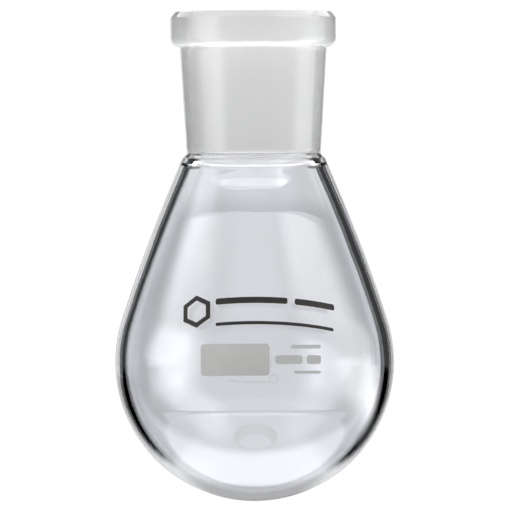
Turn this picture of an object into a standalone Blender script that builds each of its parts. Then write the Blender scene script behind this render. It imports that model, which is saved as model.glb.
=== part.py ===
"""Pear-shaped evaporating flask, 250 ml nominal.

A blown borosilicate bulb with a round bottom is fused to a standard-taper socket that has
a reinforcing bead at its mouth. Marks in grey and black enamel are fired onto the bulb.

Metres, +Z up. The origin is the centre of the socket's mouth, in the plane of its flat rim.
The flask hangs below the origin along -Z, and its marked side faces -Y.
"""

import math
from collections import namedtuple

import bmesh
import bpy

# Overall sizes
OVERALL_HEIGHT = 0.1450
BULB_RADIUS = 0.0413
SEAM_GAP = 0.0003

# Socket: the inner cone tapers 1 in 10 on the diameter
MOUTH_RADIUS = 0.0200
INNER_SLOPE = 0.05
MOUTH_CHAMFER = 0.0004
RIM_OUTER_RADIUS = 0.0231
RIM_CHAMFER_DROP = 0.0020
BEAD_RADIUS = 0.02454
BEAD_HEIGHT = 0.0104
NECK_TOP_RADIUS = 0.02175
NECK_BOTTOM_RADIUS = 0.01985
SOCKET_LENGTH = 0.0419

# Bulb: a sphere, with a long flat arc above it that runs up to the neck
TANGENT_ANGLE = math.radians(18.0)
SHOULDER_ARC_RADIUS = 0.490
SHOULDER_TOP_DEPTH = 0.0435
OUTER_CORNER_RADIUS = 0.0008
WALL = 0.0028
WALL_AT_BOTTOM = 0.0024
INNER_LIP_DEPTH = 0.0440
INNER_FLARE_DEPTH = 0.0464
INNER_CORNER_RADIUS = 0.0012

# Enamel marks, as sizes on the flat transfer they are fired from. Each group of marks is
# centred on the bulb at its own depth. A bar runs from left to right, centred on middle,
# and is divided into columns and lines so that it follows the bulb.
ENAMEL_THICKNESS = 0.0003
ENAMEL_GAP = 0.0003
UPPER_GROUP_DEPTH = 0.0877
LOWER_GROUP_DEPTH = 0.1027
Bar = namedtuple("Bar", "left right middle height corner columns lines")
GREY_BARS = {
    "marking_spot": Bar(-0.0162, 0.0044, 0.0, 0.0094, 0.0011, columns=8, lines=3),
    "grey_bar_upper": Bar(0.0109, 0.0202, 0.0038, 0.0011, 0.0004, columns=4, lines=1),
    "grey_bar_figure": Bar(0.0060, 0.0143, 0.0, 0.0026, 0.0009, columns=4, lines=1),
    "grey_bar_unit": Bar(0.0156, 0.0202, 0.0, 0.0026, 0.0009, columns=2, lines=1),
    "grey_bar_lower": Bar(0.0118, 0.0202, -0.0037, 0.0008, 0.0003, columns=4, lines=1),
}
BLACK_BARS = {
    "black_bar_long": Bar(-0.0115, 0.0098, 0.0026, 0.0019, 0.0006, columns=8, lines=1),
    "black_bar_short": Bar(0.0120, 0.0250, 0.0026, 0.0019, 0.0006, columns=5, lines=1),
    "black_bar_thin": Bar(-0.0115, 0.0246, -0.0044, 0.0010, 0.00035, columns=12, lines=1),
}
HEXAGON_ACROSS = -0.0175
HEXAGON_UP = 0.0003
HEXAGON_OUTER_RADIUS = 0.0050
HEXAGON_INNER_RADIUS = 0.0034

# Facets
AROUND = 64
SHOULDER_STEPS = 6
SPHERE_STEPS = 18
CORNER_STEPS = 3
BAR_CORNER_STEPS = 2
HEXAGON_SIDE_CUTS = 2
SHARP_EDGE_ANGLE = math.radians(35)
MERGE_DISTANCE = 1e-6

GLASS_IOR = 1.473

# Worked out from the sizes above
SPHERE_DEPTH = OVERALL_HEIGHT - BULB_RADIUS
SHOULDER_CENTRE = (
    (BULB_RADIUS - SHOULDER_ARC_RADIUS) * math.cos(TANGENT_ANGLE),
    (BULB_RADIUS - SHOULDER_ARC_RADIUS) * math.sin(TANGENT_ANGLE) - SPHERE_DEPTH,
)


def clear_scene():
    for obj in list(bpy.data.objects):
        bpy.data.objects.remove(obj, do_unlink=True)


def material(name, colour, roughness, transmission=0.0):
    made = bpy.data.materials.new(name)
    made.use_nodes = True
    shader = made.node_tree.nodes["Principled BSDF"]
    shader.inputs["Base Color"].default_value = (*colour, 1.0)
    shader.inputs["Roughness"].default_value = roughness
    shader.inputs["Metallic"].default_value = 0.0
    shader.inputs["IOR"].default_value = GLASS_IOR
    shader.inputs["Transmission Weight"].default_value = transmission
    return made


def arc(centre, radius, start, end, steps):
    """Points (r, z) on a circle, from angle start to angle end, both included."""
    angles = [start + (end - start) * i / steps for i in range(steps + 1)]
    return [(centre[0] + radius * math.cos(a), centre[1] + radius * math.sin(a)) for a in angles]


def rounded(before, corner, after, radius):
    """The arc that rounds off a corner of an outline, as points (r, z)."""
    to_before = (before[0] - corner[0], before[1] - corner[1])
    to_after = (after[0] - corner[0], after[1] - corner[1])
    heading_in = math.atan2(to_before[1], to_before[0])
    heading_out = math.atan2(to_after[1], to_after[0])
    turn = (heading_out - heading_in + math.pi) % (2 * math.pi) - math.pi
    middle = heading_in + turn / 2
    reach = radius / math.sin(abs(turn) / 2)
    centre = (corner[0] + reach * math.cos(middle), corner[1] + reach * math.sin(middle))
    side = math.copysign(math.pi / 2, turn)
    sweep_from = heading_in - side
    sweep = (heading_out + side - sweep_from + math.pi) % (2 * math.pi) - math.pi
    return arc(centre, radius, sweep_from, sweep_from + sweep, CORNER_STEPS)


def shoulder_angle(depth, radius):
    """The shoulder arc's angle at a depth, for the outer wall or one inside it."""
    return math.asin((-depth - SHOULDER_CENTRE[1]) / radius)


def shoulder(depth, wall):
    """The shoulder from a depth down to the sphere, as points (r, z)."""
    radius = SHOULDER_ARC_RADIUS - wall
    start = shoulder_angle(depth, radius)
    return arc(SHOULDER_CENTRE, radius, start, TANGENT_ANGLE, SHOULDER_STEPS)


def sphere_point(angle, inside):
    """A point (r, z) of the bulb's round part. The wall thins from its widest place down."""
    low = max(-math.sin(angle), 0.0)
    wall = WALL + (WALL_AT_BOTTOM - WALL) * low * low
    radius = BULB_RADIUS - wall * inside
    return radius * math.cos(angle), radius * math.sin(angle) - SPHERE_DEPTH


def sphere(inside):
    """The round part from below the shoulder to the pole, as points (r, z)."""
    bottom = -math.pi / 2
    angles = [
        TANGENT_ANGLE + (bottom - TANGENT_ANGLE) * i / SPHERE_STEPS
        for i in range(1, SPHERE_STEPS)
    ]
    pole = (0.0, sphere_point(bottom, inside)[1])
    return [sphere_point(a, inside) for a in angles] + [pole]


def inner_radius(depth):
    """The radius of the ground cone's socket at a depth below the rim."""
    return MOUTH_RADIUS - INNER_SLOPE * depth


def socket_outline():
    """The socket's section, down its outer side and up its ground inner side."""
    bead_corner = BEAD_RADIUS - NECK_TOP_RADIUS
    quarter_round = arc(
        (NECK_TOP_RADIUS, bead_corner - BEAD_HEIGHT), bead_corner, 0.0, -math.pi / 2, 2 * CORNER_STEPS
    )
    outer = [(RIM_OUTER_RADIUS, 0.0), (BEAD_RADIUS, -RIM_CHAMFER_DROP), *quarter_round]
    seam = [
        (NECK_BOTTOM_RADIUS, -SOCKET_LENGTH),
        (inner_radius(SOCKET_LENGTH), -SOCKET_LENGTH),
    ]
    mouth = [
        (inner_radius(MOUTH_CHAMFER), -MOUTH_CHAMFER),
        (MOUTH_RADIUS + MOUTH_CHAMFER, 0.0),
    ]
    return outer + seam + mouth


def bulb_outline():
    """The bulb's section, down its outer side to the pole and up its inner side."""
    seam_depth = SOCKET_LENGTH + SEAM_GAP
    outer = shoulder(SHOULDER_TOP_DEPTH, 0.0) + sphere(inside=0)
    neck_end = (NECK_BOTTOM_RADIUS, -seam_depth)
    outer_corner = rounded(neck_end, outer[0], outer[1], OUTER_CORNER_RADIUS)

    inner = shoulder(INNER_FLARE_DEPTH, WALL) + sphere(inside=1)
    bore = (inner_radius(seam_depth), -seam_depth)
    lip = (inner_radius(seam_depth), -INNER_LIP_DEPTH)
    lip_corner = rounded(bore, lip, inner[0], INNER_CORNER_RADIUS)
    return [neck_end, *outer_corner, *outer[1:], *reversed(inner), *reversed(lip_corner), bore]


def add_object(name, mesh, parent, look):
    obj = bpy.data.objects.new(name, mesh)
    bpy.context.scene.collection.objects.link(obj)
    obj.parent = parent
    mesh.materials.append(look)
    return obj


def add_turned(name, outline, parent, look):
    """Spins a closed section round the Z axis. An edge along the axis is left out."""
    bm = bmesh.new()
    verts = [bm.verts.new((r, 0.0, z)) for r, z in outline]
    edges = [
        bm.edges.new((a, b))
        for a, b in zip(verts, verts[1:] + verts[:1])
        if a.co.x > 0.0 or b.co.x > 0.0
    ]
    bmesh.ops.spin(
        bm,
        geom=verts + edges,
        cent=(0.0, 0.0, 0.0),
        axis=(0.0, 0.0, 1.0),
        angle=2 * math.pi,
        steps=AROUND,
        use_merge=True,
    )
    bmesh.ops.remove_doubles(bm, verts=bm.verts, dist=MERGE_DISTANCE)
    bmesh.ops.recalc_face_normals(bm, faces=bm.faces)
    mesh = bpy.data.meshes.new(name)
    bm.to_mesh(mesh)
    bm.free()
    mesh.shade_smooth()
    mesh.set_sharp_from_angle(angle=SHARP_EDGE_ANGLE)
    return add_object(name, mesh, parent, look)


def on_bulb(across, up, group_depth):
    """Where a point of a flat transfer lands when it is laid on the bulb.

    The transfer is rolled onto the cone that touches the bulb at the group's depth, so
    a straight line on it drops towards its ends where the bulb widens downwards.
    """
    tangent_z = BULB_RADIUS * math.sin(TANGENT_ANGLE) - SPHERE_DEPTH
    if -group_depth > tangent_z:
        lean = shoulder_angle(group_depth, SHOULDER_ARC_RADIUS)
        along = SHOULDER_ARC_RADIUS * (TANGENT_ANGLE - lean)
        radius = SHOULDER_CENTRE[0] + SHOULDER_ARC_RADIUS * math.cos(lean)
    else:
        lean = math.asin((SPHERE_DEPTH - group_depth) / BULB_RADIUS)
        along = BULB_RADIUS * (TANGENT_ANGLE - lean)
        radius = BULB_RADIUS * math.cos(lean)
    apex = radius / math.sin(lean)
    along += math.hypot(across, apex - up) - apex
    azimuth = math.atan2(across, apex - up) / math.sin(lean)
    if along < 0.0:
        angle = TANGENT_ANGLE - along / SHOULDER_ARC_RADIUS
        centre, radius = SHOULDER_CENTRE, SHOULDER_ARC_RADIUS
    else:
        angle = TANGENT_ANGLE - along / BULB_RADIUS
        centre, radius = (0.0, -SPHERE_DEPTH), BULB_RADIUS
    r = centre[0] + (radius + ENAMEL_GAP) * math.cos(angle)
    z = centre[1] + (radius + ENAMEL_GAP) * math.sin(angle)
    return r * math.sin(azimuth), -r * math.cos(azimuth), z


def add_mark(name, rows, group_depth, closed, parent, look):
    """A layer of enamel from rows of (across, up) points, with its thickness outwards."""
    bm = bmesh.new()
    grid = [[bm.verts.new(on_bulb(u, v, group_depth)) for u, v in row] for row in rows]
    row_pairs = zip(grid, grid[1:] + grid[:1]) if closed else zip(grid, grid[1:])
    for row, after in row_pairs:
        for i in range(len(row) - 1):
            bm.faces.new((row[i], row[i + 1], after[i + 1], after[i]))
    bmesh.ops.recalc_face_normals(bm, faces=bm.faces)
    if sum(face.normal.y for face in bm.faces) > 0.0:
        bmesh.ops.reverse_faces(bm, faces=bm.faces)
    mesh = bpy.data.meshes.new(name)
    bm.to_mesh(mesh)
    bm.free()
    obj = add_object(name, mesh, parent, look)
    layer = obj.modifiers.new("enamel_layer", "SOLIDIFY")
    layer.thickness = ENAMEL_THICKNESS
    layer.offset = 1.0
    return obj


def bar_rows(bar):
    """Rows of points that fill a bar with rounded corners."""
    half = bar.height / 2
    turns = [math.pi / 2 * i / BAR_CORNER_STEPS for i in range(BAR_CORNER_STEPS + 1)]
    bend = [bar.corner * (1 - math.cos(turn)) for turn in turns]
    flat = bar.right - bar.left - 2 * bar.corner
    across = [bar.left + b for b in bend]
    across += [bar.left + bar.corner + flat * i / bar.columns for i in range(1, bar.columns)]
    across += [bar.right - b for b in reversed(bend)]

    def half_height(u):
        inward = max(bar.left + bar.corner - u, u - bar.right + bar.corner, 0.0)
        return half - bar.corner + math.sqrt(max(bar.corner ** 2 - inward ** 2, 0.0))

    return [
        [(u, bar.middle + half_height(u) * (2 * j / bar.lines - 1)) for u in across]
        for j in range(bar.lines + 1)
    ]


def hexagon_rows():
    """Rows of two points that go round a hexagonal ring with one corner upwards."""

    def corner(radius, i):
        a = math.radians(90 + 60 * i)
        return HEXAGON_ACROSS + radius * math.cos(a), HEXAGON_UP + radius * math.sin(a)

    def on_side(radius, i, share):
        a, b = corner(radius, i), corner(radius, i + 1)
        return a[0] + (b[0] - a[0]) * share, a[1] + (b[1] - a[1]) * share

    radii = (HEXAGON_OUTER_RADIUS, HEXAGON_INNER_RADIUS)
    return [
        [on_side(radius, i, k / HEXAGON_SIDE_CUTS) for radius in radii]
        for i in range(6)
        for k in range(HEXAGON_SIDE_CUTS)
    ]


def add_bars(bars, group_depth, parent, look):
    for name, bar in bars.items():
        add_mark(name, bar_rows(bar), group_depth, False, parent, look)


def main():
    clear_scene()
    flask = bpy.data.objects.new("evaporating_flask", None)
    bpy.context.scene.collection.objects.link(flask)

    clear_glass = material("clear_glass", (0.93, 0.96, 0.97), 0.02, transmission=1.0)
    ground_glass = material("ground_glass", (0.86, 0.88, 0.88), 0.45, transmission=0.8)
    grey_enamel = material("grey_enamel", (0.45, 0.46, 0.44), 0.55)
    black_enamel = material("black_enamel", (0.025, 0.021, 0.018), 0.40)

    add_turned("ground_socket", socket_outline(), flask, ground_glass)
    add_turned("pear_bulb", bulb_outline(), flask, clear_glass)
    add_bars(GREY_BARS, LOWER_GROUP_DEPTH, flask, grey_enamel)
    add_bars(BLACK_BARS, UPPER_GROUP_DEPTH, flask, black_enamel)
    add_mark("black_hexagon", hexagon_rows(), UPPER_GROUP_DEPTH, True, flask, black_enamel)


main()
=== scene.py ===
"""Looks of the pear-shaped evaporating flask: its two glass pieces, its enamel and the studio.

Metres, +Z up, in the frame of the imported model: the origin is the centre of the mouth, the
flask hangs below it and its marked side faces -Y.
"""

import math
from collections import namedtuple

import bpy
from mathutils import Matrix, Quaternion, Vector
from mathutils.noise import fractal


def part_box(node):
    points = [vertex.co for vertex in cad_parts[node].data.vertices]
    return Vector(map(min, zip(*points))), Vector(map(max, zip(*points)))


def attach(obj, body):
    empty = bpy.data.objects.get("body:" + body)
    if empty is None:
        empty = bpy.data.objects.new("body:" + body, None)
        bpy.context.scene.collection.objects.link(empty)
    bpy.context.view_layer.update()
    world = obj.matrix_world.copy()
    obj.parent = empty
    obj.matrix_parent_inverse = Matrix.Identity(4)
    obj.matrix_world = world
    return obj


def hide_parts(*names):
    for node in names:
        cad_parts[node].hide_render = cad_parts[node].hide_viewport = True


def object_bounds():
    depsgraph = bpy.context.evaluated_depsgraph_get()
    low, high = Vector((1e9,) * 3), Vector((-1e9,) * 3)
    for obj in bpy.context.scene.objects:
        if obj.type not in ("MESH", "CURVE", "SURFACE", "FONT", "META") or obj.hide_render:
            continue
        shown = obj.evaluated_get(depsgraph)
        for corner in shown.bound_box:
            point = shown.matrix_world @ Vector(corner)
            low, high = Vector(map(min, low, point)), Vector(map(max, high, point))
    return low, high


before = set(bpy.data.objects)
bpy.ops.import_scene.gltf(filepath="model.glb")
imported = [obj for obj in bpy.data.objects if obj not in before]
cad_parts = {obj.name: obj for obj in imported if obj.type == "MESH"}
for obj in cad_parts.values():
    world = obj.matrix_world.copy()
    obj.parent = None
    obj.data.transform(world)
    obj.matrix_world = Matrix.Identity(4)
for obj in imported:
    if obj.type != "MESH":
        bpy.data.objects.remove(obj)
CAD_LOW, CAD_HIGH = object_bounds()
SOCKET_LOW, SOCKET_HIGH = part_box("ground_socket")
BULB_LOW, BULB_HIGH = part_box("pear_bulb")

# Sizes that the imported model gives
OVERALL_HEIGHT = -BULB_LOW.z
BULB_RADIUS = BULB_HIGH.x
BEAD_RADIUS = SOCKET_HIGH.x
SEAM_DEPTH = -(SOCKET_LOW.z + BULB_HIGH.z) / 2
SPHERE_DEPTH = OVERALL_HEIGHT - BULB_RADIUS

# Socket: the inner cone tapers 1 in 10 on the diameter
MOUTH_RADIUS = 0.0200
INNER_SLOPE = 0.05
RIM_OUTER_RADIUS = 0.0231
RIM_CHAMFER_DROP = 0.0018
BEAD_HEIGHT = 0.0104
NECK_TOP_RADIUS = 0.02175
NECK_BOTTOM_RADIUS = 0.01985
MOUTH_FILLET = 0.0004
RIM_FILLET = 0.0006

# Bulb: a sphere, with a long flat arc above it that runs up to the neck and swells out under it
TANGENT_ANGLE = math.radians(18.0)
SHOULDER_ARC_RADIUS = 0.490
SHOULDER_TOP_DEPTH = 0.0435
SHOULDER_FILLET = 0.0009
SWELL_DEPTH = 0.0499
SWELL_SLOPE = 0.0225
SWELL_REACH = 0.00114
WALL = 0.0028
WALL_AT_BOTTOM = 0.0024
LIP_DEPTH = 0.0440
LIP_FLARE_DEPTH = 0.0464
LIP_FILLET = 0.0005
SHOULDER_CENTRE = (
    (BULB_RADIUS - SHOULDER_ARC_RADIUS) * math.cos(TANGENT_ANGLE),
    (BULB_RADIUS - SHOULDER_ARC_RADIUS) * math.sin(TANGENT_ANGLE) - SPHERE_DEPTH,
)
TANGENT_Z = BULB_RADIUS * math.sin(TANGENT_ANGLE) - SPHERE_DEPTH

# The bulb's inner side is uneven by about this much, in patches of about this size
UNEVEN_HEIGHT = 0.000015
UNEVEN_SIZE = 0.012
UNEVEN_FADE = 0.006
UNEVEN_DIMENSION = 1.0
UNEVEN_LACUNARITY = 2.0
UNEVEN_OCTAVES = 2

# The two pieces are fused: they meet with a gap too small to see
SEAM_GAP = 0.00001

# Fineness of the turned meshes
AROUND = 256
FILLET_STEPS = 8
STRAIGHT_STEP = 0.0012
SPHERE_STEPS = 72

# Materials of a turned mesh, by slot number
CLEAR, GROUND, FUSED = range(3)
GLASS_IOR = 1.473

# Enamel marks, as sizes on the flat transfer they are fired from
ENAMEL_THICKNESS = 0.00004
ENAMEL_GAP = 0.00001
UPPER_GROUP_DEPTH = 0.0877
LOWER_GROUP_DEPTH = 0.1027
MARK_STEP = 0.0005
CORNER_COLUMNS = 6
SHARP_EDGE = math.radians(40)
Bar = namedtuple("Bar", "left right middle height corner")
GREY_BARS = {
    "marking_spot": Bar(-0.0162, 0.0044, 0.0, 0.0094, 0.0011),
    "grey_bar_upper": Bar(0.0109, 0.0202, 0.0038, 0.0011, 0.0004),
    "grey_bar_figure": Bar(0.0060, 0.0143, 0.0, 0.0026, 0.0009),
    "grey_bar_unit": Bar(0.0156, 0.0202, 0.0, 0.0026, 0.0009),
    "grey_bar_lower": Bar(0.0118, 0.0202, -0.0037, 0.0008, 0.0003),
}
BLACK_BARS = {
    "black_bar_long": Bar(-0.0115, 0.0098, 0.0026, 0.0019, 0.0006),
    "black_bar_short": Bar(0.0120, 0.0250, 0.0026, 0.0019, 0.0006),
    "black_bar_thin": Bar(-0.0115, 0.0246, -0.0044, 0.0010, 0.00035),
}
HEXAGON_ACROSS = -0.0175
HEXAGON_UP = 0.0003
HEXAGON_OUTER_RADIUS = 0.0050
HEXAGON_INNER_RADIUS = 0.0034
HEXAGON_BANDS = 3

# Where the middle of a noise's range starts and ends
NOISE_LOW, NOISE_HIGH = 0.3, 0.7

# Colours, and the sizes and heights of what is on a surface
CLEAR_TINTS = ((0.955, 0.967, 0.997), (0.962, 0.973, 1.0))
CLEAR_STREAK_SIZE, CLEAR_STREAK_STRETCH = 0.012, (1.0, 1.0, 0.35)
CLEAR_WAVE_SIZE, CLEAR_WAVE_HEIGHT = 0.016, 0.000004
GROUND_TINTS = ((0.785, 0.780, 0.762), (0.81, 0.805, 0.788))
GROUND_PASSES = 0.78
GROUND_ROUGHNESS, GROUND_ROUGHNESS_SPREAD = 0.6, 0.05
GROUND_CLOUD_SIZE = 0.007
GROUND_RING_SIZE, GROUND_RING_STRETCH, GROUND_RING_HEIGHT = 0.0006, (40.0, 40.0, 1.0), 0.000004
GROUND_GRAIN_SIZE, GROUND_GRAIN_HEIGHT = 0.00025, 0.000012
GREY_SHADES = ((0.248, 0.250, 0.245), (0.262, 0.264, 0.258))
GREY_ROUGHNESS = 0.55
BLACK_SHADES = ((0.006, 0.005, 0.004), (0.010, 0.008, 0.007))
BLACK_ROUGHNESS = 0.42
ENAMEL_SHINE = 0.2
ENAMEL_ROUGHNESS_SPREAD = 0.06
ENAMEL_MOTTLE_SIZE, ENAMEL_MOTTLE_HEIGHT = 0.0022, 0.00001
ENAMEL_PEEL_SIZE, ENAMEL_PEEL_HEIGHT = 0.0004, 0.00002

# Studio, in metres, and in degrees of elevation and of azimuth from the camera's side. A fade
# is where a glow starts and ends to change. A lamp is where it starts and ends, and how softly.
TENT_RADIUS = 1.0
TENT_CENTRE_HEIGHT = 0.060
TENT_FOOT_DROP = 0.002
TENT_STEP = 2.0
TENT_ROWS = 24
EDGE_ROUNDS = 12

# Edges of the tent's front wall and lid: rise, lean and droop, as in edge_elevation
WALL_EDGE = (0.529, 0.277, 0.065)
LID_EDGE = (0.5865, 0.20, 0.0)

# Backdrop: evenly lit, and brighter at its sides
BACKDROP_AZIMUTHS = (161.5, 203.5)
BACKDROP_TOP = 13.0
BACKDROP_GLOW, BACKDROP_SIDE_GLOW = 0.58, 0.38
BACKDROP_SIDE_FADE = (8, 18)

# Front wall, and the ring between it and the lid, which is dark along its foot
WALL_AZIMUTHS = (-117.0, 117.0)
FRONT_GLOW, FRONT_LOW_GLOW = 2.0, 1.3
FRONT_LOW_FADE = (28, 36)
FRONT_SIDE_FADE = (85, 110)
RING_GLOW = 1.6
RING_FADE = (0.0, 2.2)

# Lid, with a lamp along the front of its edge
LID_AZIMUTHS = (-180.0, 180.0)
LID_TOP = 90.0
LID_GLOW, LAMP_GLOW = 2.0, 5.0
LID_LAMP = (-60, 60, 10)
LID_LAMP_FADE = (1.0, 2.4)

# Soft lamps beside the flask, which light the wall, the lid and the table
LEFT_GLOW, LEFT_LOW_GLOW, LEFT_CORE_GLOW = 1.3, 2.0, 1.8
LEFT_LAMP = (-88, -48, 12)
LEFT_CORE = (-68, -54, 10)
RIGHT_GLOW, RIGHT_MIDDLE_GLOW, RIGHT_LOW_GLOW = 2.1, 1.4, 3.3
RIGHT_LAMP = (40, 84, 12)
RIGHT_LEAN = 34
RIGHT_LEAN_FADE = (5, 40)
SIDE_MIDDLE_FADE = (12, 30)
SIDE_LOW_FADE = (-4, 4)
SIDE_LID_FADE = (48, 75)

# Table: a lit wedge behind the flask, brighter near it, and a lit floor in front
TABLE_DROP = 0.0005
TABLE_ROWS = 400
TABLE_HALF_COLUMNS = 60
TABLE_CROWDING = 2.5
NEAR_GLOW = 0.33
NEAR_BEND = 0.065
NEAR_FADE = (0.20, 0.33)
NEAR_SIDE_LOSS = 0.35
NEAR_SIDE_FADE = (0.015, 0.045)
WEDGE_LEFT, WEDGE_LEFT_SPREAD = 0.033, 0.355
WEDGE_RIGHT, WEDGE_RIGHT_SPREAD = 0.030, 0.32
WEDGE_BLUR, WEDGE_BLUR_SPREAD = 0.004, 0.02
TABLE_SIDE_ELEVATION = -4.0
TABLE_LEFT_FADE = (0.05, 0.20)
TABLE_RIGHT_FADE = (0.05, 0.14)
TABLE_FRONT_FADE = (-0.08, -0.01)
CONTACT_SHADE = 0.50
CONTACT_FADE = (0.013, 0.037)

# White paper that the camera sees: how far back and how high its curve goes
PAPER_HALF_WIDTH = 6.0
PAPER_CURVE = ((-6.0, -0.001), (2.0, -0.001), (3.0, 0.4), (3.4, 1.4), (3.5, 6.0))
PAPER_GLOW = 1.02
WORLD_GLOW = 0.045

# Camera
CAMERA_DISTANCE = 3.0
FRAME_WIDTH = 0.1512
SENSOR_WIDTH = 36.0
FRAME_CENTRE = (0.00024, -0.0721)
CAMERA_ROLL = math.radians(-0.25)
CAMERA_CLIP = 20.0


# ---------------------------------------------------------------- outlines of the turned glass


def point(r, z, look=CLEAR):
    """A point of a turned outline. look is the material of the stretch that starts there."""
    return r, z, look


def arc(centre, radius, start, end, steps, look=CLEAR):
    """Points of an outline along an arc between two angles."""
    angles = [start + (end - start) * i / steps for i in range(steps + 1)]
    return [
        point(centre[0] + radius * math.cos(a), centre[1] + radius * math.sin(a), look)
        for a in angles
    ]


def fillet(before, corner, after, radius, look=CLEAR):
    """The arc that rounds off a corner of an outline."""
    heading_in = math.atan2(before[1] - corner[1], before[0] - corner[0])
    heading_out = math.atan2(after[1] - corner[1], after[0] - corner[0])
    turn = (heading_out - heading_in + math.pi) % (2 * math.pi) - math.pi
    middle = heading_in + turn / 2
    reach = radius / math.sin(abs(turn) / 2)
    centre = (corner[0] + reach * math.cos(middle), corner[1] + reach * math.sin(middle))
    side = math.copysign(math.pi / 2, turn)
    sweep_from = heading_in - side
    sweep = (heading_out + side - sweep_from + math.pi) % (2 * math.pi) - math.pi
    return arc(centre, radius, sweep_from, sweep_from + sweep, FILLET_STEPS, look)


def divided(outline):
    """The closed outline with its long straight stretches cut into short ones."""
    made = []
    for a, b in zip(outline, outline[1:] + outline[:1]):
        length = math.hypot(b[0] - a[0], b[1] - a[1])
        pieces = 1 if a[0] == b[0] == 0.0 else max(1, round(length / STRAIGHT_STEP))
        for i in range(pieces):
            share = i / pieces
            made.append(point(a[0] + (b[0] - a[0]) * share, a[1] + (b[1] - a[1]) * share, a[2]))
    return made


def shoulder(depth, wall):
    """The shoulder from a depth down to the sphere, drawn out a little where it meets the neck."""
    radius = SHOULDER_ARC_RADIUS - wall
    start = math.asin((-depth - SHOULDER_CENTRE[1]) / radius)
    steps = round((start - TANGENT_ANGLE) * radius / STRAIGHT_STEP)
    plain = arc(SHOULDER_CENTRE, radius, start, TANGENT_ANGLE, steps)
    made = []
    for r, z, _ in plain:
        rise = math.hypot(max(z + SWELL_DEPTH, 0.0), SWELL_REACH) - SWELL_REACH
        made.append(point(r + SWELL_SLOPE * rise, z))
    return made


def sphere(inside):
    """The round part from below the shoulder to the pole, its wall thinner at the bottom."""
    made = []
    bottom = -math.pi / 2
    for i in range(1, SPHERE_STEPS + 1):
        angle = TANGENT_ANGLE + (bottom - TANGENT_ANGLE) * i / SPHERE_STEPS
        low = max(-math.sin(angle), 0.0)
        radius = BULB_RADIUS - (WALL + (WALL_AT_BOTTOM - WALL) * low * low) * inside
        r = radius * math.cos(angle) if i < SPHERE_STEPS else 0.0
        made.append(point(r, radius * math.sin(angle) - SPHERE_DEPTH))
    return made


def inner_radius(depth):
    """The radius of the ground socket at a depth below the rim."""
    return MOUTH_RADIUS - INNER_SLOPE * depth


def socket_outline():
    """The socket's section, down its outer side and up its ground inner side."""
    foot = BEAD_RADIUS - NECK_TOP_RADIUS
    end = SEAM_DEPTH - SEAM_GAP / 2
    inner_rim = (inner_radius(0.0), 0.0)
    outer_rim = (RIM_OUTER_RADIUS, 0.0)
    bead_top = (BEAD_RADIUS, -RIM_CHAMFER_DROP)
    bead_side = (BEAD_RADIUS, foot - BEAD_HEIGHT)
    bore_end = point(inner_radius(end), -end, GROUND)
    return divided(
        fillet(bore_end, inner_rim, outer_rim, MOUTH_FILLET, GROUND)
        + fillet(inner_rim, outer_rim, bead_top, RIM_FILLET)
        + fillet(outer_rim, bead_top, bead_side, RIM_FILLET)
        + arc((NECK_TOP_RADIUS, bead_side[1]), foot, 0.0, -math.pi / 2, 2 * FILLET_STEPS)
        + [point(NECK_BOTTOM_RADIUS, -end, FUSED), bore_end]
    )


def bulb_outline():
    """The bulb's section, down its outer side to the pole and up its inner side."""
    start = SEAM_DEPTH + SEAM_GAP / 2
    outer = shoulder(SHOULDER_TOP_DEPTH, 0.0) + sphere(inside=0)
    inner = shoulder(LIP_FLARE_DEPTH, WALL) + sphere(inside=1)
    neck_end = point(NECK_BOTTOM_RADIUS, -start)
    bore = point(inner_radius(start), -start, FUSED)
    lip = (inner_radius(LIP_DEPTH), -LIP_DEPTH)
    lip_corner = fillet(inner[0], lip, bore, LIP_FILLET)
    ground_start = point(*lip_corner[-1][:2], GROUND)
    return divided(
        [neck_end]
        + fillet(neck_end, outer[0], outer[1], SHOULDER_FILLET)
        + outer[1:]
        + list(reversed(inner[1:]))
        + fillet(inner[1], inner[0], lip, LIP_FILLET)
        + lip_corner[:-1]
        + [ground_start, bore]
    )


def link(name, data):
    """A new object in the scene that holds a mesh or a camera, or nothing."""
    obj = bpy.data.objects.new(name, data)
    bpy.context.scene.collection.objects.link(obj)
    return obj


def turned(name, outline, looks):
    """Turns a closed outline round the Z axis. A point on the axis becomes one vertex."""
    verts, rings, faces, slots = [], [], [], []
    for r, z, _ in outline:
        count = 1 if r == 0.0 else AROUND
        rings.append([len(verts) + i for i in range(count)])
        for i in range(count):
            a = 2 * math.pi * i / AROUND
            verts.append((r * math.cos(a), r * math.sin(a), z))
    for k, (upper, lower) in enumerate(zip(rings, rings[1:] + rings[:1])):
        for i in range(AROUND if len(upper) + len(lower) > 2 else 0):
            j = (i + 1) % AROUND
            if len(lower) == 1:
                faces.append((upper[i], lower[0], upper[j]))
            elif len(upper) == 1:
                faces.append((upper[0], lower[i], lower[j]))
            else:
                faces.append((upper[i], lower[i], lower[j], upper[j]))
            slots.append(outline[k][2])
    mesh = bpy.data.meshes.new(name)
    mesh.from_pydata(verts, [], faces)
    for look in looks:
        mesh.materials.append(look)
    mesh.polygons.foreach_set("material_index", slots)
    mesh.shade_smooth()
    return link(name, mesh)


def depth_in_glass(x, y, z):
    """How far a point is below the bulb's outer surface."""
    r = math.hypot(x, y)
    if z < TANGENT_Z:
        return BULB_RADIUS - math.hypot(r, z + SPHERE_DEPTH)
    return SHOULDER_ARC_RADIUS - math.hypot(r - SHOULDER_CENTRE[0], z - SHOULDER_CENTRE[1])


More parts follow.
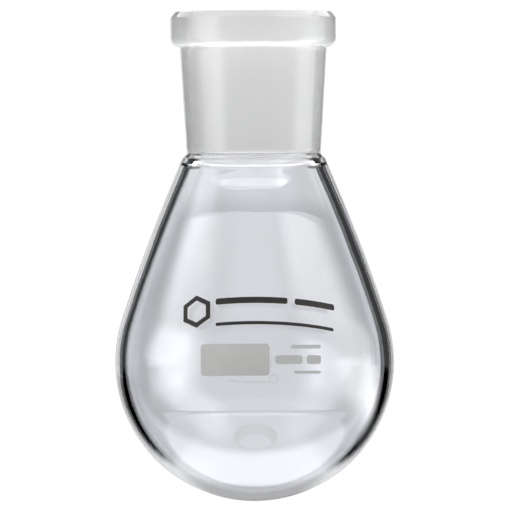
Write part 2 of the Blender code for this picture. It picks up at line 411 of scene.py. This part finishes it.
def make_uneven(bulb):
    """Gives the bulb's inner side the slight unevenness of blown glass, fading out at the lip."""
    vertices = bulb.data.vertices
    outward = [vertex.normal.copy() for vertex in vertices]
    for vertex, normal in zip(vertices, outward):
        if depth_in_glass(*vertex.co) > WALL_AT_BOTTOM / 2:
            fade = min(max((-vertex.co.z - LIP_FLARE_DEPTH) / UNEVEN_FADE, 0.0), 1.0)
            place = vertex.co / UNEVEN_SIZE
            wave = fractal(place, UNEVEN_DIMENSION, UNEVEN_LACUNARITY, UNEVEN_OCTAVES)
            vertex.co += normal * (UNEVEN_HEIGHT * fade * wave)


# ---------------------------------------------------------------- enamel marks


def on_bulb(across, up, group_depth, height):
    """Where a point of a flat transfer lands on the bulb, at a height above the glass.

    The transfer is rolled onto the cone that touches the bulb at the group's depth, so
    a straight line on it drops towards its ends where the bulb widens downwards.
    """
    if -group_depth > TANGENT_Z:
        lean = math.asin((-group_depth - SHOULDER_CENTRE[1]) / SHOULDER_ARC_RADIUS)
        along = SHOULDER_ARC_RADIUS * (TANGENT_ANGLE - lean)
        radius = SHOULDER_CENTRE[0] + SHOULDER_ARC_RADIUS * math.cos(lean)
    else:
        lean = math.asin((SPHERE_DEPTH - group_depth) / BULB_RADIUS)
        along = BULB_RADIUS * (TANGENT_ANGLE - lean)
        radius = BULB_RADIUS * math.cos(lean)
    apex = radius / math.sin(lean)
    along += math.hypot(across, apex - up) - apex
    azimuth = math.atan2(across, apex - up) / math.sin(lean)
    if along < 0.0:
        angle = TANGENT_ANGLE - along / SHOULDER_ARC_RADIUS
        centre, radius = SHOULDER_CENTRE, SHOULDER_ARC_RADIUS
    else:
        angle = TANGENT_ANGLE - along / BULB_RADIUS
        centre, radius = (0.0, -SPHERE_DEPTH), BULB_RADIUS
    r = centre[0] + (radius + height) * math.cos(angle)
    z = centre[1] + (radius + height) * math.sin(angle)
    return r * math.sin(azimuth), -r * math.cos(azimuth), z


def add_mark(name, rows, group_depth, ring, look):
    """A closed film of enamel from rows of (across, up) points. A ring's last row meets its first."""
    lines, columns = len(rows), len(rows[0])
    verts = [
        on_bulb(u, v, group_depth, height)
        for height in (ENAMEL_GAP + ENAMEL_THICKNESS, ENAMEL_GAP)
        for row in rows
        for u, v in row
    ]

    def vert(layer, j, i):
        """The vertex of a row and column. Layer 0 is the film's outer face, layer 1 its back."""
        return (layer * lines + j % lines) * columns + i

    faces = []
    last = lines if ring else lines - 1
    for j in range(last):
        for i in range(columns - 1):
            front = [vert(0, j, i), vert(0, j, i + 1), vert(0, j + 1, i + 1), vert(0, j + 1, i)]
            faces.append(front)
            faces.append([v + lines * columns for v in reversed(front)])
        for i, flip in ((0, False), (columns - 1, True)):
            side = [vert(0, j, i), vert(0, j + 1, i), vert(1, j + 1, i), vert(1, j, i)]
            faces.append(side[::-1] if flip else side)
    ends = () if ring else ((0, True), (lines - 1, False))
    for j, flip in ends:
        for i in range(columns - 1):
            side = [vert(0, j, i), vert(0, j, i + 1), vert(1, j, i + 1), vert(1, j, i)]
            faces.append(side[::-1] if flip else side)
    mesh = bpy.data.meshes.new(name)
    mesh.from_pydata(verts, [], faces)
    mesh.materials.append(look)
    mesh.shade_smooth()
    mesh.set_sharp_from_angle(angle=SHARP_EDGE)
    mark = link(name + "_enamel", mesh)
    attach(mark, "root")
    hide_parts(name)


def bar_rows(bar):
    """Rows of points that fill a bar with rounded corners."""
    turns = [math.pi / 2 * i / CORNER_COLUMNS for i in range(CORNER_COLUMNS + 1)]
    bend = [bar.corner * (1 - math.cos(turn)) for turn in turns]
    flat = bar.right - bar.left - 2 * bar.corner
    columns = round(flat / MARK_STEP)
    lines = max(2, round(bar.height / MARK_STEP))
    across = [bar.left + b for b in bend]
    across += [bar.left + bar.corner + flat * i / columns for i in range(1, columns)]
    across += [bar.right - b for b in reversed(bend)]

    def half_height(u):
        inward = max(bar.left + bar.corner - u, u - bar.right + bar.corner, 0.0)
        return bar.height / 2 - bar.corner + math.sqrt(max(bar.corner ** 2 - inward ** 2, 0.0))

    return [
        [(u, bar.middle + half_height(u) * (2 * j / lines - 1)) for u in across]
        for j in range(lines + 1)
    ]


def hexagon_rows():
    """Rows of points, inner to outer, that go round a hexagonal ring with one corner upwards."""

    def corner(radius, i):
        a = math.radians(90 + 60 * i)
        return HEXAGON_ACROSS + radius * math.cos(a), HEXAGON_UP + radius * math.sin(a)

    def on_side(radius, i, share):
        a, b = corner(radius, i), corner(radius, i + 1)
        return a[0] + (b[0] - a[0]) * share, a[1] + (b[1] - a[1]) * share

    cuts = round(HEXAGON_OUTER_RADIUS / MARK_STEP)
    step = (HEXAGON_OUTER_RADIUS - HEXAGON_INNER_RADIUS) / HEXAGON_BANDS
    radii = [HEXAGON_INNER_RADIUS + step * i for i in range(HEXAGON_BANDS + 1)]
    return [
        [on_side(radius, i, k / cuts) for radius in radii]
        for i in range(6)
        for k in range(cuts)
    ]


# ---------------------------------------------------------------- materials


def new_material(name):
    """A new material with nodes, and its main shader."""
    made = bpy.data.materials.new(name)
    made.use_nodes = True
    return made, made.node_tree.nodes["Principled BSDF"]


def noise(tree, size, detail=2.0, stretch=(1.0, 1.0, 1.0)):
    """Noise of 0 to 1 whose features are about as wide as size, in metres, longer where stretched."""
    place = tree.nodes.new("ShaderNodeTexCoord")
    scaled = tree.nodes.new("ShaderNodeMapping")
    scaled.inputs["Scale"].default_value = [1.0 / side for side in stretch]
    made = tree.nodes.new("ShaderNodeTexNoise")
    made.inputs["Scale"].default_value = 1.0 / size
    made.inputs["Detail"].default_value = detail
    tree.links.new(place.outputs["Object"], scaled.inputs["Vector"])
    tree.links.new(scaled.outputs["Vector"], made.inputs["Vector"])
    return made.outputs["Fac"]


def ranged(tree, value, low, high):
    """The middle of a noise's range spread over low to high."""
    made = tree.nodes.new("ShaderNodeMapRange")
    made.inputs["From Min"].default_value = NOISE_LOW
    made.inputs["From Max"].default_value = NOISE_HIGH
    made.inputs["To Min"].default_value = low
    made.inputs["To Max"].default_value = high
    tree.links.new(value, made.inputs["Value"])
    return made.outputs["Result"]


def coloured(tree, value, first, second):
    """A colour that goes from the first to the second with a noise."""
    made = tree.nodes.new("ShaderNodeValToRGB")
    low, high = made.color_ramp.elements
    low.position = NOISE_LOW
    low.color = (*first, 1.0)
    high.position = NOISE_HIGH
    high.color = (*second, 1.0)
    tree.links.new(value, made.inputs["Fac"])
    return made.outputs["Color"]


def bumped(tree, heights):
    """The surface's direction under layers of relief, each a value and how high it is in metres."""
    below = None
    for value, height in heights:
        made = tree.nodes.new("ShaderNodeBump")
        made.inputs["Strength"].default_value = 1.0
        made.inputs["Distance"].default_value = height
        tree.links.new(value, made.inputs["Height"])
        if below is not None:
            tree.links.new(below, made.inputs["Normal"])
        below = made.outputs["Normal"]
    return below


def connect(tree, shader, colour, normal, roughness=None):
    """Feeds a shader its colour, its normal and its roughness, which is 0 where none is given."""
    tree.links.new(colour, shader.inputs["Base Color"])
    tree.links.new(normal, shader.inputs["Normal"])
    if roughness is None:
        shader.inputs["Roughness"].default_value = 0.0
    else:
        tree.links.new(roughness, shader.inputs["Roughness"])


def clear_glass():
    """Polished borosilicate glass: faint waves from the lathe and faint streaks in its tint."""
    made, shader = new_material("clear_glass")
    tree = made.node_tree
    shader.inputs["IOR"].default_value = GLASS_IOR
    shader.inputs["Transmission Weight"].default_value = 1.0
    streaks = noise(tree, CLEAR_STREAK_SIZE, stretch=CLEAR_STREAK_STRETCH)
    waves = noise(tree, CLEAR_WAVE_SIZE, detail=1.0)
    connect(
        tree, shader,
        coloured(tree, streaks, *CLEAR_TINTS),
        bumped(tree, [(waves, CLEAR_WAVE_HEIGHT)]),
    )
    return made


def ground_glass():
    """Glass ground with a fine abrasive: even grain with faint rings where the tool turned."""
    made, shader = new_material("ground_glass")
    tree = made.node_tree
    shader.inputs["IOR"].default_value = GLASS_IOR
    shader.inputs["Transmission Weight"].default_value = GROUND_PASSES
    clouds = noise(tree, GROUND_CLOUD_SIZE)
    rings = noise(tree, GROUND_RING_SIZE, detail=1.0, stretch=GROUND_RING_STRETCH)
    grain = noise(tree, GROUND_GRAIN_SIZE, detail=0.0)
    roughest = GROUND_ROUGHNESS + GROUND_ROUGHNESS_SPREAD
    smoothest = GROUND_ROUGHNESS - GROUND_ROUGHNESS_SPREAD
    connect(
        tree, shader,
        coloured(tree, clouds, *GROUND_TINTS),
        bumped(tree, [(rings, GROUND_RING_HEIGHT), (grain, GROUND_GRAIN_HEIGHT)]),
        ranged(tree, clouds, smoothest, roughest),
    )
    return made


def enamel(name, shades, roughness):
    """Fired ceramic ink: mottled, with the fine peel of its melted surface."""
    made, shader = new_material(name)
    tree = made.node_tree
    shader.inputs["Specular IOR Level"].default_value = ENAMEL_SHINE
    mottle = noise(tree, ENAMEL_MOTTLE_SIZE, detail=4.0)
    peel = noise(tree, ENAMEL_PEEL_SIZE, detail=1.0)
    roughest = roughness + ENAMEL_ROUGHNESS_SPREAD
    smoothest = roughness - ENAMEL_ROUGHNESS_SPREAD
    connect(
        tree, shader,
        coloured(tree, mottle, *shades),
        bumped(tree, [(mottle, ENAMEL_MOTTLE_HEIGHT), (peel, ENAMEL_PEEL_HEIGHT)]),
        ranged(tree, peel, smoothest, roughest),
    )
    return made


def fused_seam():
    """The inside of the weld between socket and bulb, which light crosses unbent."""
    made, shader = new_material("fused_seam")
    shader.inputs["Roughness"].default_value = 0.0
    shader.inputs["IOR"].default_value = 1.0
    shader.inputs["Transmission Weight"].default_value = 1.0
    return made


def add_flask():
    looks = (clear_glass(), ground_glass(), fused_seam())
    socket = turned("socket_glass", socket_outline(), looks)
    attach(socket, "root")
    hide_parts("ground_socket")
    bulb = turned("bulb_glass", bulb_outline(), looks)
    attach(bulb, "root")
    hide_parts("pear_bulb")
    make_uneven(bulb)


def add_marks():
    grey = enamel("grey_enamel", GREY_SHADES, GREY_ROUGHNESS)
    black = enamel("black_enamel", BLACK_SHADES, BLACK_ROUGHNESS)
    for name, bar in GREY_BARS.items():
        add_mark(name, bar_rows(bar), LOWER_GROUP_DEPTH, False, grey)
    for name, bar in BLACK_BARS.items():
        add_mark(name, bar_rows(bar), UPPER_GROUP_DEPTH, False, black)
    add_mark("black_hexagon", hexagon_rows(), UPPER_GROUP_DEPTH, True, black)


# ---------------------------------------------------------------- camera and studio


def add_camera():
    data = bpy.data.cameras.new("camera")
    data.sensor_width = SENSOR_WIDTH
    data.lens = SENSOR_WIDTH * CAMERA_DISTANCE / FRAME_WIDTH
    data.clip_end = CAMERA_CLIP
    camera = link("camera", data)
    camera.location = (FRAME_CENTRE[0], -CAMERA_DISTANCE, FRAME_CENTRE[1])
    camera.rotation_mode = "QUATERNION"
    level = Quaternion((1.0, 0.0, 0.0), math.pi / 2)
    camera.rotation_quaternion = level @ Quaternion((0.0, 0.0, 1.0), CAMERA_ROLL)
    bpy.context.scene.camera = camera
    return camera


def add_rig(camera):
    """An empty under the flask whose -Y side always faces the camera, to carry the studio."""
    rig = link("studio_rig", None)
    rig.location = (0.0, 0.0, CAD_LOW.z)
    facing = rig.constraints.new("LOCKED_TRACK")
    facing.target = camera
    facing.track_axis = "TRACK_NEGATIVE_Y"
    facing.lock_axis = "LOCK_Z"
    return rig


def emission(name, strength=None):
    """A glowing material, of one strength or of the strength that a mesh's glow attribute holds."""
    made = bpy.data.materials.new(name)
    made.use_nodes = True
    nodes = made.node_tree.nodes
    nodes.clear()
    shader = nodes.new("ShaderNodeEmission")
    output = nodes.new("ShaderNodeOutputMaterial")
    made.node_tree.links.new(shader.outputs["Emission"], output.inputs["Surface"])
    if strength is None:
        glow = nodes.new("ShaderNodeAttribute")
        glow.attribute_name = "glow"
        made.node_tree.links.new(glow.outputs["Fac"], shader.inputs["Strength"])
    else:
        shader.inputs["Strength"].default_value = strength
    return made


def ease(value, start, end):
    """0 at start and 1 at end, with an even ease between them."""
    share = min(max((value - start) / (end - start), 0.0), 1.0)
    return share * share * (3.0 - 2.0 * share)


def hump(value, start, end, soft):
    """1 between start and end, easing to 0 over soft on both sides of each."""
    return ease(value, start - soft, start + soft) * (1.0 - ease(value, end - soft, end + soft))


def add_panel(name, rows, glows, look, rig):
    """A stage panel from rows of points in the rig's frame, with how strongly each point glows."""
    columns = len(rows[0])
    faces = [
        (j * columns + i, j * columns + i + 1, (j + 1) * columns + i + 1, (j + 1) * columns + i)
        for j in range(len(rows) - 1)
        for i in range(columns - 1)
    ]
    mesh = bpy.data.meshes.new(name)
    mesh.from_pydata([co for row in rows for co in row], [], faces)
    mesh.attributes.new("glow", "FLOAT", "POINT").data.foreach_set("value", glows)
    mesh.materials.append(look)
    obj = link(name, mesh)
    obj.parent = rig
    return obj


def edge_elevation(azimuth, rise, lean, droop):
    """The elevation of an edge on a sphere of radius 1, at an azimuth.

    The edge's height is rise, plus lean times how far it is in front, less droop times that
    distance squared.
    """
    elevation = math.asin(rise)
    for _ in range(EDGE_ROUNDS):
        front = math.cos(elevation) * math.cos(math.radians(azimuth))
        elevation = math.asin(rise + lean * front - droop * front * front)
    return math.degrees(elevation)


# The edges of the tent's parts by azimuth, and how each part glows by azimuth and elevation


def wall_edge(azimuth):
    return edge_elevation(azimuth, *WALL_EDGE)


def lid_edge(azimuth):
    return edge_elevation(azimuth, *LID_EDGE)


def side_lamps(azimuth, elevation):
    """How much the two soft lamps beside the flask add in a direction from it."""
    middle = 1.0 - ease(elevation, *SIDE_MIDDLE_FADE)
    low = 1.0 - ease(elevation, *SIDE_LOW_FADE)
    left = LEFT_GLOW + (LEFT_LOW_GLOW - LEFT_GLOW) * middle
    core = LEFT_CORE_GLOW * middle * hump(azimuth, *LEFT_CORE)
    right = RIGHT_GLOW + (RIGHT_MIDDLE_GLOW - RIGHT_GLOW) * middle
    right += (RIGHT_LOW_GLOW - RIGHT_MIDDLE_GLOW) * low
    lean = RIGHT_LEAN * (1.0 - ease(elevation, *RIGHT_LEAN_FADE))
    return left * hump(azimuth, *LEFT_LAMP) + core + right * hump(azimuth - lean, *RIGHT_LAMP)


def tent_foot(azimuth):
    """The tent's lower edge, a little below the table."""
    return -math.degrees(math.asin((TENT_CENTRE_HEIGHT + TENT_FOOT_DROP) / TENT_RADIUS))


def backdrop_top(azimuth):
    return BACKDROP_TOP


def lid_top(azimuth):
    return LID_TOP


def backdrop_glow(azimuth, elevation):
    return BACKDROP_GLOW + BACKDROP_SIDE_GLOW * ease(abs(azimuth - 180), *BACKDROP_SIDE_FADE)


def wall_glow(azimuth, elevation):
    front = FRONT_LOW_GLOW + (FRONT_GLOW - FRONT_LOW_GLOW) * ease(elevation, *FRONT_LOW_FADE)
    front *= 1.0 - ease(abs(azimuth), *FRONT_SIDE_FADE)
    return front + side_lamps(azimuth, elevation)


def ring_glow(azimuth, elevation):
    return RING_GLOW * ease(elevation - wall_edge(azimuth), *RING_FADE)


def lid_glow(azimuth, elevation):
    lamp = hump(azimuth, *LID_LAMP) * (1.0 - ease(elevation - lid_edge(azimuth), *LID_LAMP_FADE))
    beside = side_lamps(azimuth, elevation) * (1.0 - ease(elevation, *SIDE_LID_FADE))
    return LID_GLOW + (LAMP_GLOW - LID_GLOW) * lamp + beside


def add_tent_part(name, azimuths, low, high, glow, look, rig):
    """Part of the light tent round the flask: a patch of a sphere between two edges."""
    across = round(abs(azimuths[1] - azimuths[0]) / TENT_STEP)
    rows, glows = [], []
    for j in range(TENT_ROWS + 1):
        row = []
        for i in range(across + 1):
            azimuth = azimuths[0] + (azimuths[1] - azimuths[0]) * i / across
            elevation = low(azimuth) + (high(azimuth) - low(azimuth)) * j / TENT_ROWS
            a, e = math.radians(azimuth), math.radians(elevation)
            outward = (math.sin(a) * math.cos(e), -math.cos(a) * math.cos(e), math.sin(e))
            x, y, z = [TENT_RADIUS * part for part in outward]
            row.append((x, y, z + TENT_CENTRE_HEIGHT))
            glows.append(glow(azimuth, elevation))
        rows.append(row)
    part = add_panel(name, rows, glows, look, rig)
    part.visible_camera = False


def add_tent(rig, look):
    """A light tent: a backdrop, a curved front wall, a ring above the wall and a lid."""
    for name, azimuths, low, high, glow in (
        ("backdrop", BACKDROP_AZIMUTHS, tent_foot, backdrop_top, backdrop_glow),
        ("front_wall", WALL_AZIMUTHS, tent_foot, wall_edge, wall_glow),
        ("ring", WALL_AZIMUTHS, wall_edge, lid_edge, ring_glow),
        ("lid", LID_AZIMUTHS, lid_edge, lid_top, lid_glow),
    ):
        add_tent_part(name, azimuths, low, high, glow, look, rig)


def table_glow(x, y):
    """How strongly the table glows at a place beside (x) and behind (y) the flask."""
    back = max(y, 0.0)
    near = 1.0 - ease(y / math.hypot(1.0, x / NEAR_BEND), *NEAR_FADE)
    near *= 1.0 - NEAR_SIDE_LOSS * ease(abs(x), *NEAR_SIDE_FADE)
    if x > 0.0:
        half = WEDGE_RIGHT + WEDGE_RIGHT_SPREAD * back
        side_fade = TABLE_RIGHT_FADE
    else:
        half = WEDGE_LEFT + WEDGE_LEFT_SPREAD * back
        side_fade = TABLE_LEFT_FADE
    blur = WEDGE_BLUR + WEDGE_BLUR_SPREAD * back
    behind = (BACKDROP_GLOW + NEAR_GLOW * near) * (1.0 - ease(abs(x) - half, -blur, blur))
    azimuth = math.degrees(math.atan2(x, -y))
    away = math.hypot(x, y)
    beside = side_lamps(azimuth, TABLE_SIDE_ELEVATION) * ease(away, *side_fade)
    ahead = 1.0 - ease(y, *TABLE_FRONT_FADE)
    shade = CONTACT_SHADE + (1.0 - CONTACT_SHADE) * ease(away, *CONTACT_FADE)
    return (behind + (FRONT_LOW_GLOW - behind) * ahead + beside) * shade


def add_table(rig, look):
    """The lit table, with its columns crowded towards the flask."""
    rows, glows = [], []
    for j in range(TABLE_ROWS + 1):
        y = TENT_RADIUS * (2.0 * j / TABLE_ROWS - 1.0)
        row = []
        for i in range(-TABLE_HALF_COLUMNS, TABLE_HALF_COLUMNS + 1):
            x = TENT_RADIUS * math.copysign((abs(i) / TABLE_HALF_COLUMNS) ** TABLE_CROWDING, i)
            row.append((x, y, -TABLE_DROP))
            glows.append(table_glow(x, y))
        rows.append(row)
    table = add_panel("table", rows, glows, look, rig)
    table.visible_camera = False


def add_sweep(rig):
    """The white floor and wall behind the flask that the camera sees, which light nothing."""
    rows = [[(-PAPER_HALF_WIDTH, y, z), (PAPER_HALF_WIDTH, y, z)] for y, z in PAPER_CURVE]
    glows = [0.0] * (2 * len(rows))
    sweep = add_panel("white_sweep", rows, glows, emission("white_paper", PAPER_GLOW), rig)
    sweep.visible_diffuse = False
    sweep.visible_glossy = False
    sweep.visible_transmission = False
    sweep.visible_shadow = False


def add_world():
    world = bpy.data.worlds.new("studio")
    bpy.context.scene.world = world
    world.use_nodes = True
    background = world.node_tree.nodes["Background"]
    background.inputs["Color"].default_value = (1.0, 1.0, 1.0, 1.0)
    background.inputs["Strength"].default_value = WORLD_GLOW


def main():
    add_flask()
    add_marks()
    camera = add_camera()
    rig = add_rig(camera)
    fabric = emission("tent_fabric")
    add_tent(rig, fabric)
    add_table(rig, fabric)
    add_sweep(rig)
    add_world()
    bpy.context.scene.view_settings.view_transform = "Standard"


main()
